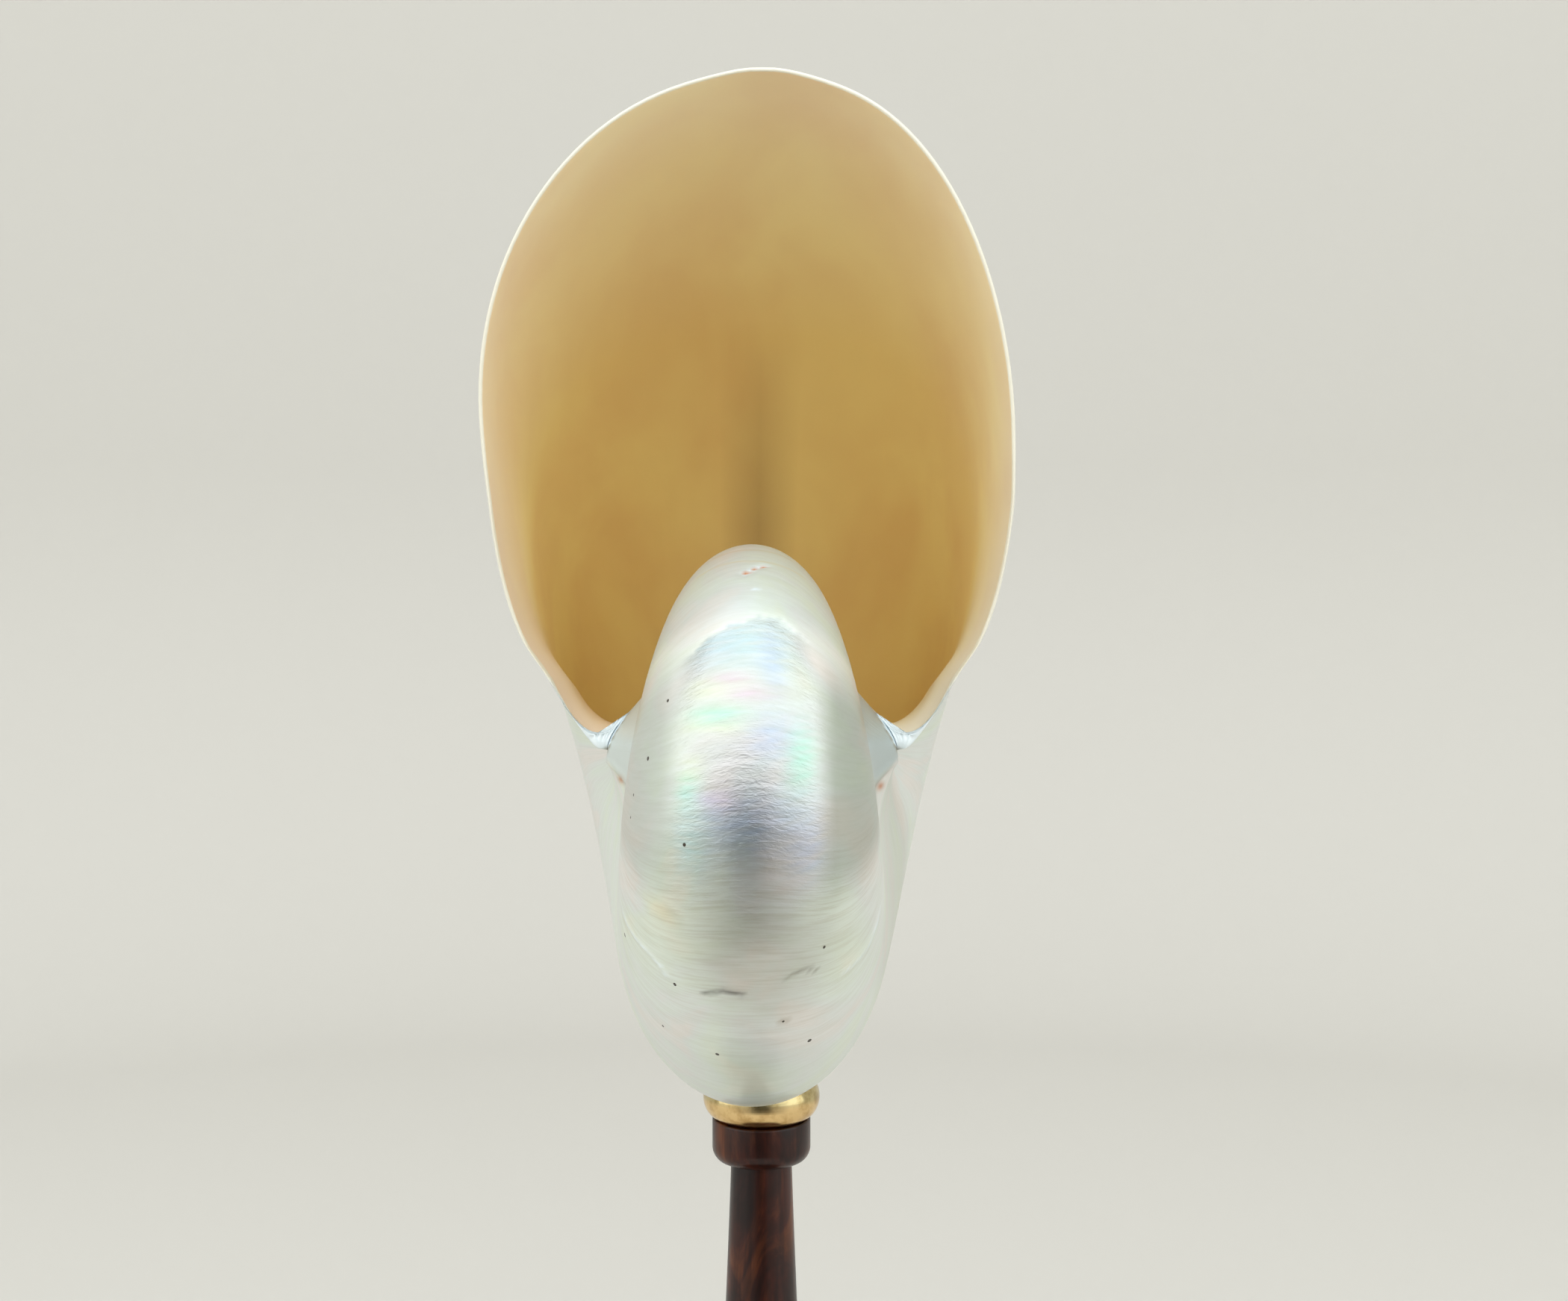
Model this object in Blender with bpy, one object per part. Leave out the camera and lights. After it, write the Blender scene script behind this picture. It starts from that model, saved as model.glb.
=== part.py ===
"""A pearled nautilus shell, mouth forward, on a slim turned stand.

The shell is one solid: a logarithmic coil with an open living chamber that
ends at its last septum. It sits in a brass ring on a turned wooden stem,
which stands on a turned wooden foot. Metres, +Z up, the mouth faces -Y.
"""
import math

import bmesh
import bpy
from mathutils import Matrix, Vector

MM = 0.001
GAP = 0.3 * MM

# Shell: the spiral and its section.
LIP_RADIUS = 106 * MM
GROWTH = 0.184
LIP_LEAN = math.radians(10.9)
HALF_WIDTH = 0.401
WIDTH_SWELL = 0.021
SWELL_PITCH = math.radians(210)
SWELL_START = math.radians(70)
WIDEST_AT = 0.48
FLANK_FALL = 0.309
FLANK_POWER = 2.46

# Shell: the callus over the umbilicus, and the seam where the chamber ends on it.
CALLUS_HALF = 23.3 * MM
CALLUS_LIP_POWER = 0.33
CALLUS_REACH = 17 * MM
SEAM_LIP = 1.9 * MM
SEAM = 6.6 * MM
CALLUS_TURN = math.radians(90)

# Shell: the lip and the living chamber.
WALL = 1.5 * MM
CHAMBER_TURN = math.radians(130)
CORNER_RISE = 11.7 * MM
CORNER_DIP = 1.6 * MM
LIP_LOBE = 0.05
LIP_SINUS = 0.027
SINUS_POWER = 6
SEPTUM_DEPTH = 0.22
OUTSIDE_FADE = 16
CHAMBER_FADE = 6

# Shell: it stands a little to the left on its ring, and its lip isn't quite even.
SHELL_ASIDE = -1.3 * MM
LIP_TOP_ASIDE = 1.75 * MM
LIP_TOP_POWER = 4
LIP_SHOULDER_ASIDE = 1.1 * MM
ASIDE_FROM = 0.38
ASIDE_TURN = math.radians(90)

# Shell: facets.
TURN_STEPS = 46
CHAMBER_STEPS = 15
SEPTUM_STEPS = 4
SEAM_STEPS = 3
CORNER_STEPS = 4
FLANK_STEPS = 8
VENTER_STEPS = 8
FLANK_SPACING = 1.8
SHARP_EDGE = math.radians(35)

# Stand: the brass ring and the seat that is cut in its top.
SEAT_LEAN = math.radians(4.3)
SEAT_DROP = 0.6 * MM
SEAT_TURN = math.radians(40)
SEAT_STEPS = 16
RING_RADIUS = 9.8 * MM
RING_BULGE = 2.9 * MM
RING_HALF_HEIGHT = 3.6 * MM
RING_BELOW = 3.4 * MM
RING_BORE = 5.0 * MM
RING_TOP_DEGREES = 52
RING_STEPS = 8

# Stand: the stem, from the cup down.
CUP_RADIUS = 8.26 * MM
CUP_STRAIGHT = 4.65 * MM
CUP_ROUND = 2.85 * MM
CUP_ROUND_STEPS = 6
NECK_STEP = 0.4 * MM
NECK_RADIUS = 5.12 * MM
SHAFT_LENGTH = 81.9 * MM
SHAFT_FLARE = 3.6 * MM
SHAFT_FLARE_POWER = 1.12
SHAFT_STEPS = 5
SHAFT_END = 0.92
SHAFT_FOOT = 10.5 * MM
SHAFT_FOOT_HEIGHT = 4.0 * MM

# Stand: the foot, and what all its turned pieces share.
BASE_RADIUS = 42 * MM
BASE_HEIGHT = 20 * MM
BASE_EDGE = 7 * MM
BASE_TOP = 13 * MM
BASE_LAND = 6 * MM
BASE_RIM = 2 * MM
COVE_STEPS = 8
EDGE_ROUND = 1.5 * MM
EDGE_START = -60
EDGE_STEPS = 5
WELD = 0.01 * MM
TURNED_SEGMENTS = 40

FULL_TURN = 2 * math.pi
HALF_COLUMNS = SEAM_STEPS + FLANK_STEPS + VENTER_STEPS
COLUMNS = 2 * HALF_COLUMNS

# The spot under the shell that the ring holds, measured round the coil from straight up.
SEAT_ANGLE = math.pi - math.atan(GROWTH) - SEAT_LEAN
SEAT_RADIUS = LIP_RADIUS * math.exp(-GROWTH * (SEAT_ANGLE + LIP_LEAN))
STEM_TOP = BASE_HEIGHT + GAP + SHAFT_LENGTH + CUP_ROUND + CUP_STRAIGHT
RING_CENTRE_Z = STEM_TOP + GAP + RING_BELOW / math.cos(SEAT_LEAN)
COIL_Y = -(SEAT_RADIUS * math.sin(SEAT_ANGLE) + SEAT_DROP * math.sin(SEAT_LEAN))
COIL_Z = RING_CENTRE_Z + SEAT_DROP * math.cos(SEAT_LEAN) - SEAT_RADIUS * math.cos(SEAT_ANGLE)


def clear_scene():
    for thing in list(bpy.data.objects):
        bpy.data.objects.remove(thing, do_unlink=True)


def make_material(name, color, roughness, metallic=0.0):
    material = bpy.data.materials.new(name)
    material.use_nodes = True
    shader = material.node_tree.nodes["Principled BSDF"]
    shader.inputs["Base Color"].default_value = (*color, 1.0)
    shader.inputs["Roughness"].default_value = roughness
    shader.inputs["Metallic"].default_value = metallic
    return material


def add_object(name, bm, material):
    bmesh.ops.recalc_face_normals(bm, faces=bm.faces)
    mesh = bpy.data.meshes.new(name)
    bm.to_mesh(mesh)
    bm.free()
    mesh.shade_smooth()
    mesh.set_sharp_from_angle(angle=SHARP_EDGE)
    mesh.materials.append(material)
    thing = bpy.data.objects.new(name, mesh)
    bpy.context.scene.collection.objects.link(thing)
    return thing


def ease(share):
    share = min(max(share, 0.0), 1.0)
    return share * share * (3 - 2 * share)


def mix(first, second, share):
    return first + (second - first) * share


def radius_at(theta):
    """Coil axis to venter; theta is 0 at the lip and falls going back into the coil."""
    return LIP_RADIUS * math.exp(GROWTH * theta)


def half_width_at(theta):
    swell = math.cos(FULL_TURN * (theta + SWELL_START) / SWELL_PITCH)
    return (HALF_WIDTH + WIDTH_SWELL * swell) * radius_at(theta)


def flank_at(theta, rho):
    """Half the shell's width at a distance rho from the axis, inside its widest line."""
    short_of_widest = max(0.0, 1 - rho / (WIDEST_AT * radius_at(theta)))
    flank = half_width_at(theta) * (1 - FLANK_FALL * short_of_widest ** FLANK_POWER)
    share = min(rho / CALLUS_REACH, 1.0)
    fade = mix(share ** CALLUS_LIP_POWER, ease(share), ease(-theta / CALLUS_TURN))
    return mix(CALLUS_HALF, flank, fade)


def venter_point(theta, step, inset=0.0):
    """A point on the round outer part of a section, from its widest line (0) outwards."""
    turn = math.pi / 2 * (1 - step / VENTER_STEPS)
    radius = radius_at(theta)
    rise = (1 - WIDEST_AT) * radius - inset
    width = half_width_at(theta) - inset
    return width * math.sin(turn), WIDEST_AT * radius + rise * math.cos(turn)


def outer_point(theta, step):
    """Half width and distance from the axis, from the callus centre (0) to the venter."""
    seam = mix(SEAM_LIP, SEAM, ease(-theta / CALLUS_TURN))
    if step <= SEAM_STEPS:
        rho = seam * step / SEAM_STEPS
        return flank_at(theta, rho), rho
    if step <= SEAM_STEPS + FLANK_STEPS:
        share = ((step - SEAM_STEPS) / FLANK_STEPS) ** FLANK_SPACING
        rho = mix(seam, WIDEST_AT * radius_at(theta), share)
        return flank_at(theta, rho), rho
    return venter_point(theta, step - SEAM_STEPS - FLANK_STEPS)


def chamber_point(theta, step):
    """The chamber wall, from its seam on the inner whorl (step SEAM_STEPS) to the venter."""
    corner_end = SEAM_STEPS + CORNER_STEPS
    flank_end = SEAM_STEPS + FLANK_STEPS
    if step <= corner_end:
        share = (step - SEAM_STEPS) / CORNER_STEPS
        seam_x = flank_at(theta - FULL_TURN, SEAM)
        rise_x = flank_at(theta, CORNER_RISE) - WALL
        dip = mix(-CORNER_DIP, SEAM, ease(-theta / CALLUS_TURN))
        x = bent(seam_x, (seam_x + rise_x) / 2, rise_x, share)
        return x, bent(SEAM, dip, CORNER_RISE, share)
    if step <= flank_end:
        share = (step - corner_end) / (flank_end - corner_end)
        rho = mix(CORNER_RISE, WIDEST_AT * radius_at(theta), share)
        return flank_at(theta, rho) - WALL, rho
    return venter_point(theta, step - flank_end, WALL)


def bent(first, middle, last, share):
    return mix(mix(first, middle, share), mix(middle, last, share), share)


def lip_shift(step):
    """How far round the coil the lip stands forward of its plane: side lobes, venter sinus."""
    corner_end = SEAM_STEPS + CORNER_STEPS
    share = max(0.0, (step - corner_end) / (HALF_COLUMNS - corner_end))
    return LIP_LOBE * math.sin(math.pi * share) - LIP_SINUS * share ** SINUS_POWER


def aside(theta, rho):
    """How far a point stands to the right of the stem's axis, less its own half width."""
    share = (rho / radius_at(theta) - ASIDE_FROM) / (1 - ASIDE_FROM)
    share = min(max(share, 0.0), 1.0)
    top = LIP_TOP_ASIDE * share ** LIP_TOP_POWER
    shoulder = LIP_SHOULDER_ASIDE * math.sin(math.pi * share)
    return SHELL_ASIDE + (top - shoulder) * ease(1 + theta / ASIDE_TURN)


def place(theta, side, half_width, rho):
    """From a section's plane to the world."""
    angle = -theta - LIP_LEAN
    forward = COIL_Y + rho * math.sin(angle)
    x = side * half_width + aside(theta, rho)
    return Vector((x, forward, COIL_Z + rho * math.cos(angle)))


def mirrored(column):
    """A column's side of the shell and its step up that side's half section."""
    if column <= HALF_COLUMNS:
        return -1, column
    return 1, COLUMNS - column


def add_face(bm, corners):
    distinct = list(dict.fromkeys(corners))
    if len(distinct) > 2:
        bm.faces.new(distinct)


def join_rows(bm, first, second):
    for index in range(len(first) - 1):
        add_face(bm, (first[index], first[index + 1], second[index + 1], second[index]))


def coil_row(bm, poles, theta, shift_fade):
    """One line across the outside, from callus centre to callus centre."""
    row = [poles[0]]
    for column in range(1, COLUMNS):
        side, step = mirrored(column)
        shifted = theta + shift_fade * lip_shift(step)
        row.append(bm.verts.new(place(shifted, side, *outer_point(shifted, step))))
    return row + [poles[1]]


def floor_row(bm, theta):
    """One line across the inner whorl where it is the chamber's floor."""
    row = []
    for column in range(SEAM_STEPS, COLUMNS - SEAM_STEPS + 1):
        side, step = mirrored(column)
        row.append(bm.verts.new(place(theta, side, *outer_point(theta, step))))
    return row


def roof_row(bm, floor, theta, shift_fade):
    """One line across the chamber's wall, sharing its two ends with the floor."""
    row = [floor[0]]
    for column in range(SEAM_STEPS + 1, COLUMNS - SEAM_STEPS):
        side, step = mirrored(column)
        shifted = theta + shift_fade * lip_shift(step)
        row.append(bm.verts.new(place(shifted, side, *chamber_point(shifted, step))))
    return row + [floor[-1]]


def septum_rows(bm, floor, roof):
    """The last septum: a bowl across the chamber's back end, hollow towards the mouth."""
    rows = []
    axis_point = Vector((0, COIL_Y, COIL_Z))
    last = len(floor) - 1
    for step in range(1, SEPTUM_STEPS + 1):
        share = step / (SEPTUM_STEPS + 1)
        row = [floor[0]]
        for column in range(1, last):
            depth = SEPTUM_DEPTH * math.sin(math.pi * share) * math.sin(math.pi * column / last)
            flat = floor[column].co.lerp(roof[column].co, share) - axis_point
            row.append(bm.verts.new(axis_point + Matrix.Rotation(-depth, 3, "X") @ flat))
        rows.append(row + [floor[-1]])
    return rows


def build_shell(material):
    bm = bmesh.new()
    poles = [bm.verts.new(place(0, side, CALLUS_HALF, 0)) for side in (-1, 1)]
    outside = []
    for step in range(TURN_STEPS + 1):
        share = step / TURN_STEPS
        outside.append(coil_row(bm, poles, -FULL_TURN * share, (1 - share) ** OUTSIDE_FADE))
    floor = [outside[-1][SEAM_STEPS:COLUMNS - SEAM_STEPS + 1]]
    for step in range(1, CHAMBER_STEPS + 1):
        floor.append(floor_row(bm, -FULL_TURN - CHAMBER_TURN * step / CHAMBER_STEPS))
    roof = []
    for step, floor_line in enumerate(floor):
        share = step / CHAMBER_STEPS
        roof.append(roof_row(bm, floor_line, -CHAMBER_TURN * share, (1 - share) ** CHAMBER_FADE))
    inner_edge = outside[-1][:SEAM_STEPS] + roof[0] + outside[-1][COLUMNS - SEAM_STEPS + 1:]
    septum = [floor[-1]] + septum_rows(bm, floor[-1], roof[-1]) + [roof[-1]]
    for rows in (outside, floor, roof, septum, [outside[0], inner_edge]):
        for first, second in zip(rows, rows[1:]):
            join_rows(bm, first, second)
    return add_object("shell", bm, material)


def seat_cutter():
    """A wedge of the coil round the seat, grown by the gap, that hollows the ring's top."""
    bm = bmesh.new()
    middle = -LIP_LEAN - SEAT_ANGLE
    poles = [bm.verts.new(place(0, side, CALLUS_HALF, 0)) for side in (-1, 1)]
    rows = []
    for step in range(SEAT_STEPS + 1):
        theta = middle + SEAT_TURN * (step / SEAT_STEPS - 0.5)
        row = [poles[0]]
        for column in range(SEAM_STEPS + FLANK_STEPS, COLUMNS - SEAM_STEPS - FLANK_STEPS + 1):
            side, up = mirrored(column)
            point = venter_point(theta, up - SEAM_STEPS - FLANK_STEPS, -GAP)
            row.append(bm.verts.new(place(theta, side, *point)))
        rows.append(row + [poles[1]])
    for first, second in zip(rows, rows[1:]):
        join_rows(bm, first, second)
    bm.faces.new(rows[0])
    bm.faces.new(rows[-1])
    cutter = add_object("seat_cutter", bm, make_material("cutter", (1, 0, 0), 0.5))
    cutter.hide_render = True
    cutter.display_type = "WIRE"
    return cutter


def turn(name, outline, material, closed_ring=False):
    """A turned piece from an outline of (radius, height), the first and last on the axis
    unless the piece is a ring."""
    bm = bmesh.new()
    points = outline + outline[:1] if closed_ring else outline
    chain = [bm.verts.new((radius, 0, height)) for radius, height in points]
    edges = [bm.edges.new(pair) for pair in zip(chain, chain[1:])]
    bmesh.ops.spin(bm, geom=chain + edges, cent=(0, 0, 0), axis=(0, 0, 1),
                   angle=FULL_TURN, steps=TURNED_SEGMENTS)
    bmesh.ops.remove_doubles(bm, verts=bm.verts, dist=WELD)
    return add_object(name, bm, material)


def arc(centre_r, centre_z, size_r, size_z, start, end, steps):
    """Points on an ellipse, by angle in degrees from straight outwards."""
    angles = [math.radians(mix(start, end, step / steps)) for step in range(steps + 1)]
    return [(centre_r + size_r * math.cos(a), centre_z + size_z * math.sin(a)) for a in angles]


def flat_member(radius, bottom, height):
    """A flat round member: from its underside on the axis, out and round its edge."""
    flat = radius - EDGE_ROUND
    return [(0, bottom), (flat, bottom)] + arc(
        flat, bottom + height / 2, EDGE_ROUND, height / 2, EDGE_START, 90, EDGE_STEPS)


def build_ring(material):
    """A half-round brass band whose bore is open and whose top is cut to the shell."""
    lowest = -math.degrees(math.asin(RING_BELOW / RING_HALF_HEIGHT))
    outline = arc(RING_RADIUS - RING_BULGE, 0, RING_BULGE, RING_HALF_HEIGHT,
                  lowest, RING_TOP_DEGREES, RING_STEPS)
    outline += [(RING_BORE, outline[-1][1]), (RING_BORE, -RING_BELOW)]
    ring = turn("brass_ring", outline, material, closed_ring=True)
    ring.location = (0, 0, RING_CENTRE_Z)
    ring.rotation_euler = (SEAT_LEAN, 0, 0)
    cut = ring.modifiers.new("seat", "BOOLEAN")
    cut.operation = "DIFFERENCE"
    cut.solver = "EXACT"
    cut.object = seat_cutter()
    return ring


def shaft_radius(drop):
    """The stem's radius at a share of its length below the neck."""
    return NECK_RADIUS + SHAFT_FLARE * drop ** SHAFT_FLARE_POWER


def build_stem(material):
    """The cup under the ring, the neck and the slowly widening shaft, turned in one."""
    neck_z = BASE_HEIGHT + GAP + SHAFT_LENGTH
    cup_z = neck_z + CUP_ROUND
    outline = flat_member(SHAFT_FOOT, BASE_HEIGHT + GAP, SHAFT_FOOT_HEIGHT)
    for step in range(SHAFT_STEPS + 1):
        drop = SHAFT_END * (1 - step / SHAFT_STEPS)
        outline.append((shaft_radius(drop), neck_z - drop * SHAFT_LENGTH))
    shoulder = NECK_RADIUS + NECK_STEP
    outline += arc(shoulder, cup_z, CUP_RADIUS - shoulder, CUP_ROUND, -90, 0, CUP_ROUND_STEPS)
    outline += [(CUP_RADIUS, STEM_TOP), (0, STEM_TOP)]
    stem = turn("stem", outline, material)
    slope = math.tan(SEAT_LEAN)
    for vertex in stem.data.vertices:
        if vertex.co.z > STEM_TOP - WELD:
            vertex.co.z += vertex.co.y * slope
    return stem


def build_base(material):
    """The round foot: flat underneath, a plain edge and a cove up to the stem."""
    outline = flat_member(BASE_RADIUS, 0, BASE_EDGE)
    cove_r = BASE_RADIUS - BASE_LAND - BASE_TOP
    cove_top = BASE_HEIGHT - BASE_RIM
    outline += arc(BASE_TOP + cove_r, cove_top, -cove_r, cove_top - BASE_EDGE,
                   -90, 0, COVE_STEPS)
    outline += [(BASE_TOP, BASE_HEIGHT), (0, BASE_HEIGHT)]
    return turn("base", outline, material)


clear_scene()
pearl = make_material("pearl", (0.74, 0.76, 0.74), 0.3)
brass = make_material("brass", (0.72, 0.53, 0.26), 0.22, 1.0)
wood = make_material("wood", (0.09, 0.03, 0.02), 0.25)
build_shell(pearl)
build_ring(brass)
build_stem(wood)
build_base(wood)
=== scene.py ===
import math

import bmesh
import bpy
import numpy as np
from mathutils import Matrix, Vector
from mathutils.bvhtree import BVHTree
from mathutils.kdtree import KDTree


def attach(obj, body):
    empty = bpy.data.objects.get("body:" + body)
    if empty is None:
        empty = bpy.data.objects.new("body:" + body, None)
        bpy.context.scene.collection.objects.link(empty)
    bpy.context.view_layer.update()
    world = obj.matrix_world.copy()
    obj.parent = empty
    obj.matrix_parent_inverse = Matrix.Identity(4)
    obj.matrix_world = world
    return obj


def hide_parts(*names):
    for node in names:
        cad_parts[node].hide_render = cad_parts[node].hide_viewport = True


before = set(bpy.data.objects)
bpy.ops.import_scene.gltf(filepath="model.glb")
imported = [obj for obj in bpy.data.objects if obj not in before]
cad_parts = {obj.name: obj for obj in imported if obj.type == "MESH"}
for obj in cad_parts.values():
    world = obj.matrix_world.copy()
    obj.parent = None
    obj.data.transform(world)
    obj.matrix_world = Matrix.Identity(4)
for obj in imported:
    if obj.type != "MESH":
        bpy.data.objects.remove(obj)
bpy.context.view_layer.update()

# The foot: a round hardwood foot turned on a lathe, flat underneath, with a plain
# rounded edge and a cove that rises to the stem. It is stained dark and varnished.
MM = 0.001
FULL_TURN = 2 * math.pi
GAP = 0.3 * MM
BASE_RADIUS = 42 * MM
BASE_HEIGHT = 20 * MM
BASE_EDGE = 7 * MM
BASE_TOP = 13 * MM
BASE_LAND = 6 * MM
BASE_RIM = 2 * MM
EDGE_ROUND = 1.5 * MM
EASED_EDGE = 0.35 * MM
TURNED_SEGMENTS = 144
WOOD_RED = (60, 21, 7)
WOOD_DARK = (26, 5, 1)
WOOD_LIGHT = (112, 62, 24)


def mix(first, second, share):
    return first + (second - first) * share


def linear(color):
    """A colour given as 0 to 255 screen values, for a shader socket."""
    shares = [part / 255 for part in color]
    return (*(s / 12.92 if s <= 0.04045 else ((s + 0.055) / 1.055) ** 2.4 for s in shares), 1.0)


def fill_sockets(material, node, sockets):
    """Sets a node's sockets to values, or links them where another node's output is given."""
    for name, value in sockets.items():
        if isinstance(value, bpy.types.NodeSocket):
            material.node_tree.links.new(value, node.inputs[name])
        else:
            node.inputs[name].default_value = value
    return node


def add_node(material, kind, sockets, **properties):
    node = material.node_tree.nodes.new("ShaderNode" + kind)
    for name, value in properties.items():
        setattr(node, name, value)
    return fill_sockets(material, node, sockets)


def new_material(name):
    material = bpy.data.materials.new(name)
    material.use_nodes = True
    return material, material.node_tree.nodes["Principled BSDF"]


def color_ramp(material, factor, stops):
    """A ramp from (place, screen colour) stops."""
    node = add_node(material, "ValToRGB", {"Fac": factor})
    elements = node.color_ramp.elements
    while len(elements) < len(stops):
        elements.new(0.5)
    for element, (place, color) in zip(elements, stops):
        element.position = place
        element.color = linear(color)
    return node.outputs["Color"]


def noise(material, vector, stretch, detail=4.0, roughness=0.6, distortion=0.0):
    """Noise whose grain is 1 / stretch long along each axis of the vector."""
    squeezed = add_node(material, "Mapping", {"Vector": vector, "Scale": stretch})
    return add_node(material, "TexNoise", {
        "Vector": squeezed.outputs["Vector"], "Scale": 1.0, "Detail": detail,
        "Roughness": roughness, "Distortion": distortion}).outputs["Fac"]


def blend_colors(material, way, share, first, second):
    return add_node(material, "MixRGB", {"Fac": share, "Color1": first, "Color2": second},
                    blend_type=way).outputs["Color"]


def varnished_wood():
    """Dark red-brown hardwood under a glossy varnish, its grain running up the spindle."""
    material, shader = new_material("varnished wood")
    spot = add_node(material, "TexCoord", {}).outputs["Object"]
    figure = noise(material, spot, (110, 110, 38), 5.0, 0.62, 1.2)
    pores = noise(material, spot, (900, 900, 60), 2.0)
    mottle = noise(material, spot, (120, 120, 90), 3.0)
    stained = color_ramp(material, figure, [(0.34, WOOD_DARK), (0.52, WOOD_RED), (0.72, WOOD_LIGHT)])
    streaks = color_ramp(material, pores, [(0.38, (200, 190, 185)), (0.55, (255, 255, 255))])
    clouds = color_ramp(material, mottle, [(0.4, (150, 135, 125)), (0.65, (255, 235, 215))])
    color = blend_colors(material, "MULTIPLY", 1.0, stained, streaks)
    color = blend_colors(material, "MULTIPLY", 0.8, color, clouds)
    bump = add_node(material, "Bump", {"Strength": 0.1, "Distance": 0.1 * MM, "Height": mottle})
    fill_sockets(material, shader, {
        "Base Color": color, "Roughness": 0.5, "Specular IOR Level": 0.1, "Coat Weight": 0.5,
        "Coat Roughness": 0.1, "Coat Normal": bump.outputs["Normal"],
        "Normal": bump.outputs["Normal"]})
    return material


def arc(centre_r, centre_z, size_r, size_z, start, end, steps):
    """Points on an ellipse, by angle in degrees from straight outwards."""
    angles = [math.radians(mix(start, end, step / steps)) for step in range(steps + 1)]
    return [(centre_r + size_r * math.cos(a), centre_z + size_z * math.sin(a)) for a in angles]


def flat_member(radius, bottom, height):
    """A flat round member: from its underside on the axis, out and round its edge."""
    flat = radius - EDGE_ROUND
    return [(0, bottom), (flat, bottom)] + arc(
        flat, bottom + height / 2, EDGE_ROUND, height / 2, -60, 90, 14)


def link_mesh(name, bm, material, sharp=35):
    bmesh.ops.recalc_face_normals(bm, faces=bm.faces)
    mesh = bpy.data.meshes.new(name)
    bm.to_mesh(mesh)
    bm.free()
    mesh.shade_smooth()
    mesh.set_sharp_from_angle(angle=math.radians(sharp))
    mesh.materials.append(material)
    piece = bpy.data.objects.new(name, mesh)
    bpy.context.scene.collection.objects.link(piece)
    return piece


def turned(name, outline, material):
    """A piece turned on a lathe from its outline of (radius, height)."""
    bm = bmesh.new()
    chain = [bm.verts.new((radius, 0, height)) for radius, height in outline]
    edges = [bm.edges.new(pair) for pair in zip(chain, chain[1:])]
    bmesh.ops.spin(bm, geom=chain + edges, cent=(0, 0, 0), axis=(0, 0, 1), angle=FULL_TURN,
                   steps=TURNED_SEGMENTS)
    bmesh.ops.remove_doubles(bm, verts=bm.verts, dist=0.002 * MM)
    return link_mesh(name, bm, material)


def eased_top(radius, top):
    """The last points of an outline: a lightly rounded arris and the flat top."""
    return arc(radius - EASED_EDGE, top - EASED_EDGE, EASED_EDGE, EASED_EDGE, 0, 90, 4) + [(0, top)]


def foot_outline():
    cove_r = BASE_RADIUS - BASE_LAND - BASE_TOP
    cove_top = BASE_HEIGHT - BASE_RIM
    cove = arc(BASE_TOP + cove_r, cove_top, -cove_r, cove_top - BASE_EDGE, -90, 0, 24)
    return flat_member(BASE_RADIUS, 0, BASE_EDGE) + cove + eased_top(BASE_TOP, BASE_HEIGHT)


wood = varnished_wood()
foot = turned("turned_foot", foot_outline(), wood)
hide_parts("base")
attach(foot, "root")


# The stem: one turned spindle of the same hardwood. A small cup at its top carries the
# brass ring, a crisp shoulder joins it to the neck, and the shaft widens slowly to its foot.
CUP_RADIUS = 8.26 * MM
CUP_STRAIGHT = 4.65 * MM
CUP_ROUND = 2.85 * MM
NECK_RADIUS = 5.12 * MM
NECK_STEP = 0.4 * MM
SHAFT_LENGTH = 81.9 * MM
SHAFT_FLARE = 3.6 * MM
SHAFT_FLARE_POWER = 1.12
SHAFT_END = 0.92
SHAFT_STEPS = 24
SHAFT_FOOT = 10.5 * MM
SHAFT_FOOT_HEIGHT = 4.0 * MM
SEAT_LEAN = math.radians(4.3)
CUP_LIFT = 0.2 * MM
NECK_Z = BASE_HEIGHT + GAP + SHAFT_LENGTH
STEM_TOP = NECK_Z + CUP_ROUND + CUP_STRAIGHT


def stem_outline():
    outline = flat_member(SHAFT_FOOT, BASE_HEIGHT + GAP, SHAFT_FOOT_HEIGHT)
    for step in range(SHAFT_STEPS + 1):
        drop = SHAFT_END * (1 - step / SHAFT_STEPS)
        outline.append((NECK_RADIUS + SHAFT_FLARE * drop ** SHAFT_FLARE_POWER,
                        NECK_Z - drop * SHAFT_LENGTH))
    shoulder = NECK_RADIUS + NECK_STEP
    outline += arc(shoulder, NECK_Z + CUP_ROUND, CUP_RADIUS - shoulder, CUP_ROUND, -90, 0, 14)
    return outline + eased_top(CUP_RADIUS, STEM_TOP)


stem = turned("turned_stem", stem_outline(), wood)
for vertex in stem.data.vertices:
    if vertex.co.z > STEM_TOP - CUP_STRAIGHT / 2:
        vertex.co.z += vertex.co.y * math.tan(SEAT_LEAN) + CUP_LIFT
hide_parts("stem")
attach(stem, "root")


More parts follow.
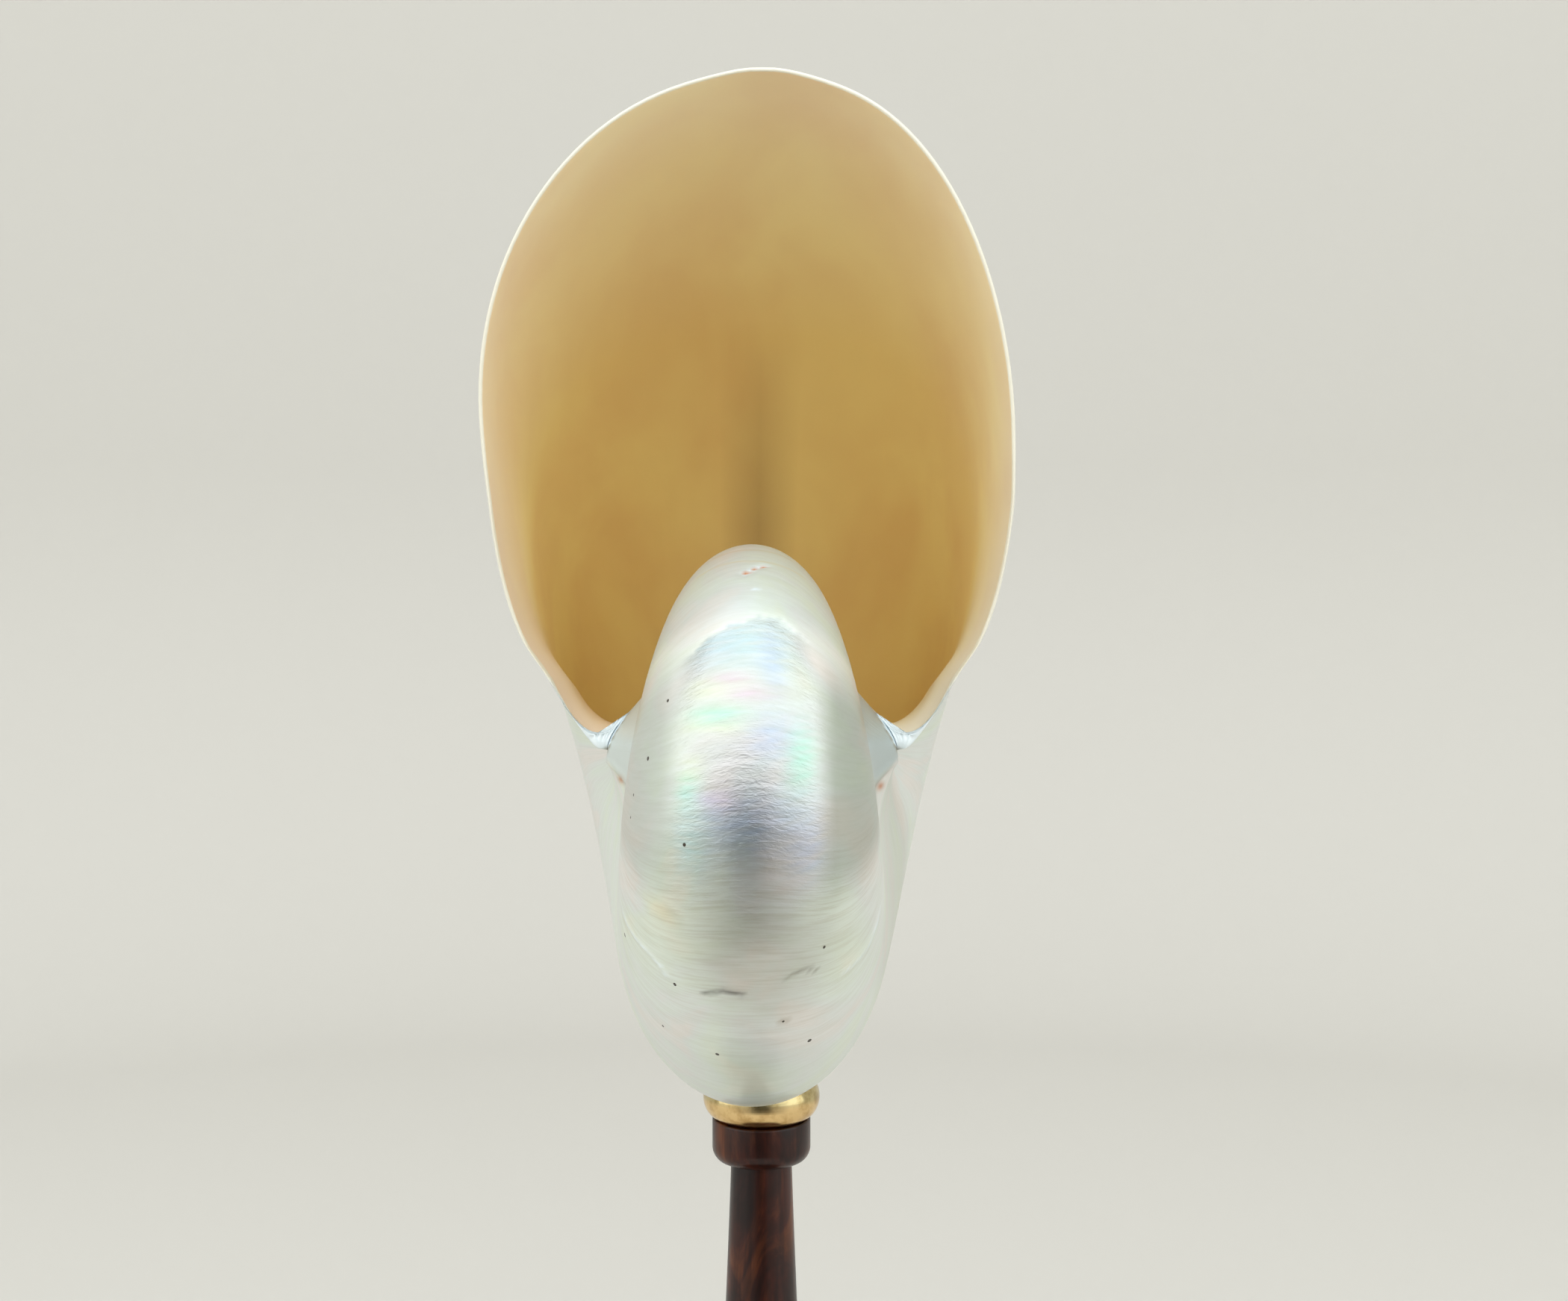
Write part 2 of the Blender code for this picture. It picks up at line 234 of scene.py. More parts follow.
# The shell's form. It grew as one piece, coiling in a logarithmic spiral, so every section
# across it is the same arch at another size. The umbilicus is closed by a callus, and the
# last chamber is open. It stands a little to the left on its ring, and its lip is uneven.
LIP_RADIUS = 106 * MM
GROWTH = 0.184
LIP_LEAN = math.radians(10.9)
HALF_WIDTH = 0.401
WIDTH_SWELL = 0.021
SWELL_PITCH = math.radians(210)
SWELL_START = math.radians(70)
WIDEST_AT = 0.48
FLANK_FALL = 0.309
FLANK_POWER = 2.46
FLANK_HOLLOW = 0.85 * MM
HOLLOW_AT = 13 * MM
HOLLOW_REACH = 6 * MM
HOLLOW_TURN = math.radians(170)
CALLUS_HALF = 23.3 * MM
CALLUS_LIP_POWER = 0.33
CALLUS_REACH = 17 * MM
SEAM_LIP = 1.9 * MM
SEAM = 6.6 * MM
CALLUS_TURN = math.radians(90)
WALL = 1.5 * MM
LIP_WALL = 0.6 * MM
WALL_TURN = math.radians(30)
CHAMBER_TURN = math.radians(130)
CORNER_RISE = 11.7 * MM
CORNER_DIP = 3.4 * MM
LIP_LOBE = 0.05
LIP_SINUS = 0.027
SINUS_POWER = 24
LINE_BOW = 0.12
LINE_BOW_HALF = 0.32
CORNER_INSIDE = 8.5 * MM
CORNER_FADE = 4 * MM
BEAD_REACH = 2.3 * MM
BEAD_HEIGHT = 0.9 * MM
BEAD_HOLLOW = 0.8 * MM
BEAD_TAPER_FROM = 23 * MM
BEAD_TAPER = 6 * MM
BEAD_NARROWING = 0.72
BEAD_WOBBLES = [(0.08, 0.6 * MM), (0.04, 0.26 * MM)]
LIP_ROUND = 0.45
LIP_ROUND_MOST = 1.1 * MM
LIP_PEAK = 1.0 * MM
LIP_PEAK_HALF = 7 * MM
SEPTUM_DEPTH = 0.22
SHELL_ASIDE = -1.3 * MM
LIP_TOP_ASIDE = 1.75 * MM
LIP_TOP_POWER = 4
LIP_SHOULDER_ASIDE = 1.1 * MM
ASIDE_FROM = 0.38
ASIDE_TURN = math.radians(90)
SEAT_DROP = 0.6 * MM
RING_BELOW = 3.4 * MM
SEAT_ANGLE = math.pi - math.atan(GROWTH) - SEAT_LEAN
SEAT_RADIUS = LIP_RADIUS * math.exp(-GROWTH * (SEAT_ANGLE + LIP_LEAN))
RING_CENTRE_Z = STEM_TOP + GAP + RING_BELOW / math.cos(SEAT_LEAN)
COIL_Y = -(SEAT_RADIUS * math.sin(SEAT_ANGLE) + SEAT_DROP * math.sin(SEAT_LEAN))
COIL_Z = RING_CENTRE_Z + SEAT_DROP * math.cos(SEAT_LEAN) - SEAT_RADIUS * math.cos(SEAT_ANGLE)
COIL_FROM = math.radians(170)
BODY_STEPS = 110
COIL_STEPS = 270
CHAMBER_STEPS = 100
SEPTUM_STEPS = 10
LIP_STEPS = 36
SEAM_STEPS = 6
CORNER_STEPS = 14
FLANK_STEPS = 30
VENTER_STEPS = 34
FLANK_SPACING = 1.8
CORNER_END = SEAM_STEPS + CORNER_STEPS
FLANK_END = SEAM_STEPS + FLANK_STEPS
HALF_COLUMNS = FLANK_END + VENTER_STEPS
COLUMNS = 2 * HALF_COLUMNS


def ease(share):
    share = np.clip(share, 0.0, 1.0)
    return share * share * (3 - 2 * share)


def radius_at(theta):
    """Coil axis to venter; theta is 0 at the lip and falls going back into the coil."""
    return LIP_RADIUS * np.exp(GROWTH * theta)


def half_width_at(theta):
    swell = np.cos(FULL_TURN * (theta + SWELL_START) / SWELL_PITCH)
    return (HALF_WIDTH + WIDTH_SWELL * swell) * radius_at(theta)


def flank_at(theta, rho):
    """Half the shell's width at a distance rho from the axis, inside its widest line."""
    short_of_widest = np.maximum(0.0, 1 - rho / (WIDEST_AT * radius_at(theta)))
    flank = half_width_at(theta) * (1 - FLANK_FALL * short_of_widest ** FLANK_POWER)
    share = np.clip(rho / CALLUS_REACH, 0.0, 1.0)
    fade = mix(share ** CALLUS_LIP_POWER, ease(share), ease(-theta / CALLUS_TURN))
    hollow = FLANK_HOLLOW * np.exp(-((rho - HOLLOW_AT) / HOLLOW_REACH) ** 2) * ease(1 + theta / HOLLOW_TURN)
    return mix(CALLUS_HALF, flank, fade) - hollow


def venter_point(theta, step, inset=0.0):
    """A point on the round outer part of a section, from its widest line (0) outwards."""
    turn = math.pi / 2 * (1 - step / VENTER_STEPS)
    radius = radius_at(theta)
    half = (half_width_at(theta) - inset) * np.sin(turn)
    peak = LIP_PEAK * np.exp(-(half / LIP_PEAK_HALF) ** 2) * ease(1 + theta / WALL_TURN)
    rise = (1 - WIDEST_AT) * radius - inset + peak
    return half, WIDEST_AT * radius + rise * np.cos(turn)


def outer_point(theta, step):
    """Half width and distance from the axis, from the callus centre (0) to the venter."""
    seam = mix(SEAM_LIP, SEAM, ease(-theta / CALLUS_TURN))
    share = np.clip((step - SEAM_STEPS) / FLANK_STEPS, 0, 1) ** FLANK_SPACING
    rho = np.where(step <= SEAM_STEPS, seam * step / SEAM_STEPS,
                   mix(seam, WIDEST_AT * radius_at(theta), share))
    venter_x, venter_rho = venter_point(theta, np.maximum(step - FLANK_END, 0))
    inside = step <= FLANK_END
    return np.where(inside, flank_at(theta, rho), venter_x), np.where(inside, rho, venter_rho)


def bent(first, middle, last, share):
    return mix(mix(first, middle, share), mix(middle, last, share), share)


def chamber_point(theta, step):
    """The chamber wall, from its seam on the inner whorl (step SEAM_STEPS) to the venter."""
    wall = mix(LIP_WALL, WALL, ease(-theta / WALL_TURN))
    share = np.clip((step - SEAM_STEPS) / CORNER_STEPS, 0, 1)
    seam_x = flank_at(theta - FULL_TURN, SEAM)
    rise_x = flank_at(theta, CORNER_RISE) - wall
    dip = mix(-CORNER_DIP, SEAM, ease(-theta / CALLUS_TURN))
    corner_x = bent(seam_x, (seam_x + rise_x) / 2, rise_x, share)
    corner_rho = bent(SEAM, dip, CORNER_RISE, share)
    up = np.clip((step - CORNER_END) / (FLANK_END - CORNER_END), 0, 1)
    flank_rho = mix(CORNER_RISE, WIDEST_AT * radius_at(theta), up)
    venter_x, venter_rho = venter_point(theta, np.maximum(step - FLANK_END, 0), wall)
    parts = [step <= CORNER_END, step <= FLANK_END]
    x = np.select(parts, [corner_x, flank_at(theta, flank_rho) - wall], venter_x)
    return x, np.select(parts, [corner_rho, flank_rho], venter_rho)


def growth_line(theta, across):
    """The turn of the growth line through a point: each line bows back over the venter."""
    return theta + LINE_BOW * np.exp(-(across / LINE_BOW_HALF) ** 2)


def lip_shift(step):
    """How far round the coil the lip stands forward of its plane: side lobes, venter sinus."""
    share = np.maximum(0.0, (step - CORNER_END) / (HALF_COLUMNS - CORNER_END))
    return LIP_LOBE * np.sin(math.pi * share) - LIP_SINUS * np.sin(math.pi / 2 * share) ** SINUS_POWER


def aside(theta, rho):
    """How far a point stands to the right of the stem's axis, less its own half width."""
    share = np.clip((rho / radius_at(theta) - ASIDE_FROM) / (1 - ASIDE_FROM), 0, 1)
    lean = LIP_TOP_ASIDE * share ** LIP_TOP_POWER - LIP_SHOULDER_ASIDE * np.sin(math.pi * share)
    return SHELL_ASIDE + lean * ease(1 + theta / ASIDE_TURN)


def place(theta, side, half_width, rho):
    """From sections' planes to points in the world, as an array of x, y, z."""
    angle = -theta - LIP_LEAN
    x = side * half_width + aside(theta, rho)
    return np.stack([x, COIL_Y + rho * np.sin(angle), COIL_Z + rho * np.cos(angle)], -1)


def columns_between(first, last):
    """The side of the shell and the step up that side for each column across it."""
    column = np.arange(first, last + 1)
    side = np.where(column <= HALF_COLUMNS, -1.0, 1.0)
    return side[None], np.minimum(column, COLUMNS - column)[None].astype(float)


def outside_sheet():
    side, step = columns_between(0, COLUMNS)
    body = np.linspace(0, -COIL_FROM, BODY_STEPS, endpoint=False)
    coil = np.linspace(-COIL_FROM, -FULL_TURN, COIL_STEPS + 1)
    row = np.concatenate([body, coil])[:, None]
    theta = row + (1 + row / FULL_TURN) ** 16 * lip_shift(step)
    return place(theta, side, *outer_point(theta, step)), theta, step + 0 * theta


def floor_sheet():
    side, step = columns_between(SEAM_STEPS, COLUMNS - SEAM_STEPS)
    theta = -FULL_TURN - CHAMBER_TURN * np.linspace(0, 1, CHAMBER_STEPS + 1)[:, None] + 0 * step
    return place(theta, side, *outer_point(theta, step)), theta, step + 0 * theta


def roof_sheet():
    side, step = columns_between(SEAM_STEPS, COLUMNS - SEAM_STEPS)
    share = np.linspace(0, 1, CHAMBER_STEPS + 1)[:, None]
    theta = -CHAMBER_TURN * share + (1 - share) ** 6 * lip_shift(step)
    return place(theta, side, *chamber_point(theta, step)), theta, step + 0 * theta


def septum_sheet(floor_line, roof_line):
    """The last septum: a bowl across the chamber's back end, hollow towards the mouth."""
    share = np.linspace(0, 1, SEPTUM_STEPS + 2)[:, None]
    across = np.linspace(0, 1, len(floor_line))[None]
    depth = -SEPTUM_DEPTH * np.sin(math.pi * share) * np.sin(math.pi * across)
    flat = mix(floor_line[None], roof_line[None], share[..., None])
    y, z = flat[..., 1] - COIL_Y, flat[..., 2] - COIL_Z
    bowl = np.stack([flat[..., 0], COIL_Y + y * np.cos(depth) - z * np.sin(depth),
                     COIL_Z + y * np.sin(depth) + z * np.cos(depth)], -1)
    return bowl, np.full(depth.shape, -CHAMBER_TURN), 0 * depth


def distance_to(points, line):
    """The distance of each point of a sheet from the nearest point of a line of points."""
    tree = KDTree(len(line))
    for index, point in enumerate(line):
        tree.insert(point, index)
    tree.balance()
    flat = points.reshape(-1, 3)
    return np.array([tree.find(point)[2] for point in flat]).reshape(points.shape[:2])


def corner_at(grid):
    """1 round the umbilicus, where the lip thickens to callus, and 0 elsewhere."""
    rho = np.hypot(grid[..., 1] - COIL_Y, grid[..., 2] - COIL_Z)
    return 1 - ease((rho - CORNER_INSIDE) / CORNER_FADE)


def bead_reach(grid):
    """How wide the callus bead is: widest at the foot of the mouth, with a ragged lower edge."""
    wobble = sum(size * np.sin(grid[..., 0] / pitch) for size, pitch in BEAD_WOBBLES)
    inward = ease((BEAD_TAPER_FROM - np.abs(grid[..., 0] - SHELL_ASIDE)) / BEAD_TAPER)
    return BEAD_REACH * (1 - BEAD_NARROWING * inward + wobble)


def lip_sheet(outer_line, inner_line, mouth_line):
    """The lip's rounded edge, and the callus bead along the mouth in its lower corners."""
    share = np.linspace(0, 1, LIP_STEPS + 1)[:, None, None]
    thick = np.linalg.norm(outer_line - inner_line, axis=-1)[None, :, None]
    forward = np.array([0, -math.cos(LIP_LEAN), -math.sin(LIP_LEAN)])
    flat = mix(outer_line[None], inner_line[None], share)
    bulge = np.minimum(LIP_ROUND * thick, LIP_ROUND_MOST) * np.sin(math.pi * share) ** 0.8
    away = distance_to(flat, mouth_line)[..., None]
    reach = bead_reach(flat)[..., None]
    bead = BEAD_HEIGHT * np.sqrt(np.clip(1 - (2 * away / reach - 1) ** 2, 0, 1))
    hollow = BEAD_HOLLOW * ease((away - reach) / reach)
    bead = (bead - hollow) * np.clip(6 * share * (1 - ease(5 * share - 4)), 0, 1)
    edge = flat + forward * mix(bulge, bead, corner_at(flat)[..., None])
    return edge, 0 * edge[..., 0], 0 * edge[..., 0]


# The shell's marks, cut into its surface: growth ridges, the ragged arc where its outer
# layer was ground off the front of the coil, two polishing facets, a crease, a chip.
# Each place is degrees back from the lip and millimetres to the right of the mid-plane.
RIDGE_DEPTH = 0.016 * MM
LAYER_STEP = 0.14 * MM
LAYER_MIDDLE = 2 * MM
LAYER_REACH = 4 * MM
RAGGED_ARC = [(-9, 305), (-4.9, 309.8), (-2.5, 311.5), (-0.1, 312.5), (1.5, 313.9), (3.5, 314.2),
              (4.8, 313.3), (6.3, 311.6), (7.9, 309.9), (8.9, 308.3), (12, 303)]
GROUND_STRIP = [(235, -13, 13), (260, -12, 12.4), (280, -11.2, 11.8), (296, -10.2, 10.4), (309, -8.8, 8.1)]
FACET_EDGES = (3.5, 6.0)
FACET_DEPTH = 0.09 * MM
FACET_FROM = math.radians(268)
LATE_RIDGE_LEFT = [(236, -18.9), (236.5, -17.6), (238, -14.8), (237.6, -13.2), (236, -11.9)]
LATE_RIDGE_RIGHT = [(233, 19.5), (231.8, 17.8), (233, 16), (234.5, 13.6)]
CREASE = [(236.8, -6.2), (238.5, -3.6), (238.0, -0.8)]
WAVY_LINE = [(240.5, 5.0), (241.1, 7.0), (241.3, 8.4), (239.6, 9.6)]
RAISED_MARK = [(252.6, -11.8), (251.7, -10.5), (250.6, -8.4)]
CHIP = [(329.0, -0.7), (331.0, 0.2), (332.2, 0.9), (333.8, 2.2)]
WHITE_LINES = [(CHIP, 0.5, 1.5), ([(322.8, 0.9), (322.9, 1.1)], 0.35, 1.5), (LATE_RIDGE_LEFT, 0.28, 0.8),
               (LATE_RIDGE_RIGHT, 0.25, 0.7)]
CUT_LINES = [(LATE_RIDGE_LEFT, 0.26, 0.5), (LATE_RIDGE_RIGHT, 0.26, 0.5), (CREASE, -0.22, 0.42),
             (WAVY_LINE, -0.12, 0.4), (RAISED_MARK, 0.14, 0.5), (CHIP, -0.28, 0.6)]
CHIP_FLECKS = [(330.0, -0.5), (332.0, 0.7), (333.4, 2.0)]
TINTED_LINES = [(CREASE, 0.3, (96, 90, 84), 0.8), (WAVY_LINE, 0.25, (150, 140, 128), 0.7),
                ([(337, -8), (335.7, 0), (337, 8)], 0.35, (236, 222, 192), 0.6),
                ([(346, -6), (344.6, 0), (346, 6)], 0.5, (224, 205, 168), 0.5),
                ([(231.1, 4.6), (230.8, 5.4)], 0.5, (170, 150, 122), 0.45)]
ORANGE_SPOTS = [(-22.0, 167.9), (19.0, 166.9)]
SPOT_DEPTH = 8 * MM
RECESS_LOW = 167.8 * MM
RECESS_HALF = 19.0 * MM
RECESS_SLOPE = 0.69
RECESS_RIDGE = 0.5 * MM
RECESS_OUT = 12 * MM
RECESS_OUT_FADE = 7 * MM
RECESS_BACK = 2 * MM
RECESS_BACK_FADE = 3 * MM
FLECK_SIZE = 0.34 * MM
SPOT_SIZE = 0.95 * MM
PIT_SIZE = 0.28 * MM
PITS = [(265.1, -17.4), (295.2, -11.7), (281.5, -14.6), (271.4, -16.9), (265.2, -9.0), (229.3, -18.9),
        (219.8, -13.1), (235.4, -10.8), (222.4, 8.9), (243.8, 10.9), (221.9, -4.8), (230.9, 5.0)]
COIL_RADIUS = 48 * MM


def flat_place(theta, sideways):
    """A place on the front of the coil as lengths along it and across it."""
    return np.stack([-theta * COIL_RADIUS, sideways], -1)


def from_line(spot, line):
    """The distance of each spot from a line of (degrees, millimetres) places."""
    ends = [np.array([math.radians(turn) * COIL_RADIUS, side * MM]) for turn, side in line]
    nearest = np.full(spot.shape[:-1], np.inf)
    for start, end in zip(ends, ends[1:]):
        run = end - start
        share = np.clip(((spot - start) @ run) / (run @ run), 0, 1)
        away = np.linalg.norm(spot - start - share[..., None] * run, axis=-1)
        nearest = np.minimum(nearest, away)
    return nearest


def ripples(line, across, seed, count, lines, spread):
    """Long uneven ripples that run with the growth lines."""
    rng = np.random.default_rng(seed)
    total = 0 * line
    for _ in range(count):
        pitch = lines * rng.uniform(0.6, 1.7)
        lean = rng.normal(0, spread)
        total = total + np.sin(pitch * line + lean * across + rng.uniform(0, FULL_TURN))
    return total / math.sqrt(count)


def outer_layer(theta, sideways):
    """1 where the outer layer was left on the coil, past the ragged arc, and 0 elsewhere."""
    sides, turns = zip(*RAGGED_ARC)
    jag = 0.35 * np.sin(sideways / (0.55 * MM)) + 0.25 * np.sin(sideways / (0.23 * MM) + 1)
    past = -np.degrees(theta) - np.interp(sideways / MM, sides, turns) - jag
    return ease(past / 0.8 + 0.5)


def polish_at(theta, sideways):
    """1 where the front of the coil was ground through to bright pearl, and 0 elsewhere."""
    turn, side = -np.degrees(theta), sideways / MM
    turns, lefts, rights = zip(*GROUND_STRIP)
    inside = np.minimum(side - np.interp(turn, turns, lefts), np.interp(turn, turns, rights) - side)
    return (1 - outer_layer(theta, sideways)) * ease(inside / 4.5 + 0.35) * ease((turn - 236) / 34)


def relief(theta, across, sideways, line):
    """How far the outside stands out of its smooth form."""
    spot = flat_place(theta, sideways)
    height = RIDGE_DEPTH * ripples(line, across, 3, 9, 95, 6)
    height *= 0.5 + 0.5 * ripples(line, across, 5, 3, 6, 3)
    arc_reach = 1 - ease(np.abs(sideways - LAYER_MIDDLE) / LAYER_REACH - 1.1)
    height += LAYER_STEP * (outer_layer(theta, sideways) - 1) * arc_reach * ease((-theta - 4.6) / 0.5)
    facet = [ease((sideways / MM - edge) / 0.5 + 0.5) for edge in FACET_EDGES]
    fall = ease((-theta - FACET_FROM) / 0.4) * (1 - outer_layer(theta, sideways))
    height -= FACET_DEPTH * (facet[0] - facet[1]) * fall
    for line_places, rise, wide in CUT_LINES:
        height += rise * MM * np.exp(-(from_line(spot, line_places) / (wide * MM)) ** 2)
    return height


def normals_of(grid):
    down, along = np.gradient(grid, axis=0), np.gradient(grid, axis=1)
    normal = np.cross(along, down)
    return normal / np.maximum(np.linalg.norm(normal, axis=-1, keepdims=True), 1e-12)


def across_of(grid, theta):
    """The way round the section from the venter line, in shares of the coil's radius."""
    steps = np.linalg.norm(np.diff(grid, axis=1), axis=-1)
    run = np.concatenate([0 * steps[:, :1], np.cumsum(steps, axis=1)], axis=1)
    return (run - run[:, run.shape[1] // 2][:, None]) / radius_at(theta)


# The shell's finishes: pearl outside, a satin chamber whose golden colour is a painted glow
# of light through the shell, and a bare cream lip that thickens to white callus in its two
# lower corners. The pearl is silver with a pastel play of colour, partly a painted sheen,
# and its growth lines are tinted brown low on the coil.
PEARL_SLOT = 0
CHAMBER_SLOT = 1
LIP_SLOT = 2
MATTE_ROUGH = 0.42
POLISH_ROUGH = -0.13
MATTE_METAL = 0.3
POLISH_METAL = 0.52
MATTE_WRINKLE = 0.1
POLISH_WRINKLE = 0.26
PEARL = (230, 232, 228)
PEARL_SHADE = (216, 218, 209)
MATTE_PEARL = (236, 238, 231)
LINE_BROWN = (168, 150, 118)
PIT_DARK = (60, 52, 44)
WHITE_PLAY = (224, 224, 222)
CYAN = (200, 222, 232)
PINK = (232, 212, 226)
CREAM_YELLOW = (230, 230, 208)
LAVENDER = (200, 212, 234)
GREEN = (190, 234, 216)
ORANGE = (214, 132, 70)
# painted shade: the coil's sides darker, more on the right, and its top darker deep in the mouth
SIDE_PAINTED_SHADE = (194, 197, 190)
TOP_PAINTED_SHADE = (233, 238, 242)
# the first two darken the coil low in front as a painted dark reflection; the third is a faint cream stain
STAINS_AND_PAINTED_REFLECTION = [(247, 0.5, 7, 6, (162, 155, 144)), (243, 3, 9, 12, (222, 220, 214)),
          (250, -12.5, 2, 2.5, (247, 241, 228))]
# painted shade, deeper in the right recess
RECESS_RIGHT_PAINTED_SHADE = (186, 189, 184)
# painted shade on the body's right flank
FLANK_PAINTED_SHADE = (234, 233, 228)
# painted shade in the recess below each corner of the mouth
RECESS_PAINTED_SHADE = (218, 218, 210)
CALLUS_WHITE = (232, 242, 246)
# painted shadow: a tan band under the callus bead's lower edge
BEAD_PAINTED_SHADOW = (158, 146, 120)
# the pearl's play of colour, fixed in place on the polished strip as a painted sheen
PLAY_AND_PAINTED_SHEEN = [(307, -2, 5, 8, CYAN), (303, 3.4, 8, 2.2, LAVENDER), (296.5, -5, 2.2, 6, CREAM_YELLOW),
        (295.2, 0.4, 1.6, 4, PINK), (298.5, -2.5, 1.2, 3, PINK), (288, -3, 1.6, 6, CREAM_YELLOW),
        (290.5, -4.5, 1.6, 4, GREEN), (286, 3.5, 3.5, 4, LAVENDER), (281.8, 7.6, 6, 2.2, GREEN),
        (278.3, -8.2, 4, 2.6, CREAM_YELLOW), (275, -8.6, 3, 2, GREEN), (274, -4.6, 1.6, 3, PINK),
        (270, 0, 5, 8, LAVENDER), (264, -8.5, 5, 3, CYAN), (264, 8.3, 5, 3, LAVENDER)]
# painted glow of light through the shell, pale near the rim and golden further in
PAINTED_GLOW_RIM = (246, 232, 200)
PAINTED_GLOW_NEAR = (243, 228, 184)
PAINTED_GLOW_MID = (236, 213, 146)
PAINTED_GLOW_DEEP = (233, 208, 136)
# painted shade down the chamber's mid-line, deep inside
CHAMBER_PAINTED_SHADE = (140, 112, 70)
# painted sheen on the chamber's walls beside the rim, pinkish left and greyish right
RIM_PAINTED_SHEEN_PINK = (214, 190, 172)
RIM_PAINTED_SHEEN_GREY = (212, 208, 196)
RIM_SHEEN_END = 20
RIM_SHEEN_FULL = 2
LIP_CREAM = (226, 222, 206)


def laid_over(color, tone, mask):
    """A sheet of colours with a tone laid over it by a mask."""
    return mix(color, np.array(linear(tone)[:3]), mask[..., None])


def play_and_painted_sheen(theta, sideways):
    """The pastel patches on the front of the coil, over white: play of colour fixed as painted sheen."""
    spot = flat_place(theta, sideways)
    polish = polish_at(theta, sideways)
    streaks = 0.75 + 0.25 * ripples(theta, sideways / COIL_RADIUS, 11, 7, 160, 40)
    color = laid_over(np.ones((*theta.shape, 3)), WHITE_PLAY, polish)
    for turn, side, along, wide, tone in PLAY_AND_PAINTED_SHEEN:
        centre = (math.radians(turn) * COIL_RADIUS, side * MM)
        away = (spot - centre) / (along * MM, wide * MM)
        color = laid_over(color, tone, np.clip(streaks, 0, 1) * polish * np.exp(-(away ** 2).sum(-1)))
    return color


def above_recess_line(grid):
    """Height over the line, seen from the front, that bounds the white callus recess."""
    half = np.abs(grid[..., 0] - SHELL_ASIDE)
    return grid[..., 2] - RECESS_LOW - (half - RECESS_HALF) * RECESS_SLOPE


def near_recess(grid):
    """1 close to the umbilicus and before its axis, where the recess lies, and 0 elsewhere."""
    rho = np.hypot(grid[..., 1] - COIL_Y, grid[..., 2] - COIL_Z)
    before = ease((COIL_Y + RECESS_BACK - grid[..., 1]) / RECESS_BACK_FADE)
    return (1 - ease((rho - RECESS_OUT) / RECESS_OUT_FADE)) * before


def recess_mask(grid):
    """1 in the white recess below each corner of the mouth, and 0 elsewhere."""
    return near_recess(grid) * ease(above_recess_line(grid) / (1.2 * MM) + 0.5)


def painted_shades(color, turn, side):
    """Painted shade on the coil's sides (deeper on the right), on its top and on the body's right flank."""
    sides = ease((np.abs(side) - 9) / 4) * ease((turn - 246) / 14) * ease((312 - turn) / 20)
    flank = ease((side - 18) / 5) * ease((turn - 130) / 20) * ease((230 - turn) / 20)
    color = laid_over(color, SIDE_PAINTED_SHADE, sides * (0.8 + 0.2 * np.sign(side)))
    color = laid_over(color, TOP_PAINTED_SHADE, ease((turn - 309) / 9) * ease((380 - turn) / 10))
    return laid_over(color, FLANK_PAINTED_SHADE, flank)


def stains_reflection_and_lines(color, spot):
    """The stains and a painted dark reflection, the orange flecks in the chip, and the tinted lines."""
    # the first two entries are painted dark reflection, the last one a stain
    for turn, side, along, wide, tone in STAINS_AND_PAINTED_REFLECTION:
        away = (spot - (math.radians(turn) * COIL_RADIUS, side * MM)) / (along * MM, wide * MM)
        color = laid_over(color, tone, np.exp(-(away ** 2).sum(-1)))
    for turn, side in CHIP_FLECKS:
        away = from_line(spot, [(turn, side), (turn + 0.1, side + 0.2)])
        color = laid_over(color, ORANGE, np.clip(2 * np.exp(-(away / FLECK_SIZE) ** 2), 0, 1))
    for line, wide, tone, depth in TINTED_LINES:
        color = laid_over(color, tone, depth * np.exp(-(from_line(spot, line) / (wide * MM)) ** 2))
    return color


def callus_tints(color, grid, side, rim, corner):
    """Painted shade in each recess, more on the right, its orange spot, and painted shadow under the bead.
    """
    past_bead = rim - bead_reach(grid)
    # painted shade in the recess, darker still on the right
    recess = recess_mask(grid) * ease(past_bead / (0.4 * MM))
    color = laid_over(color, RECESS_PAINTED_SHADE, recess)
    color = laid_over(color, RECESS_RIGHT_PAINTED_SHADE, recess * (side > 0))
    for spot_x, spot_z in ORANGE_SPOTS:
        away = np.hypot(grid[..., 0] - spot_x * MM, (grid[..., 2] - spot_z * MM) * 1.6)
        away = np.hypot(away, (grid[..., 1] - COIL_Y + SPOT_DEPTH) * 0.3)
        color = laid_over(color, ORANGE, 0.95 * np.exp(-(away / SPOT_SIZE) ** 2))
    # a tan band of painted shadow just below the bead
    band = ease(past_bead / (0.2 * MM)) * (1 - ease((past_bead - 0.45 * MM) / (0.5 * MM))) * corner
    return laid_over(color, BEAD_PAINTED_SHADOW, 0.9 * band)


def marks_and_painted_light_color(grid, theta, sideways, rim, corner):
    """The tints of painted shade and reflection, stains, chips and callus on the outside, over white."""
    color = painted_shades(np.ones((*theta.shape, 3)), -np.degrees(theta), sideways / MM)
    color = stains_reflection_and_lines(color, flat_place(theta, sideways))
    return callus_tints(color, grid, sideways / MM, rim, corner)


def white_parts(grid, theta, sideways, rim, corner, slot):
    """1 where the surface is white callus or a white chip, and 0 elsewhere."""
    if slot != PEARL_SLOT:
        return corner * (slot == LIP_SLOT)
    spot = flat_place(theta, sideways)
    white = recess_mask(grid)
    for line, wide, strength in WHITE_LINES:
        near = strength * np.exp(-(from_line(spot, line) / (wide * MM)) ** 2)
        white = np.maximum(white, np.clip(near, 0, 1))
    return np.maximum(white, corner * ease((bead_reach(grid) - rim) / (0.3 * MM)))


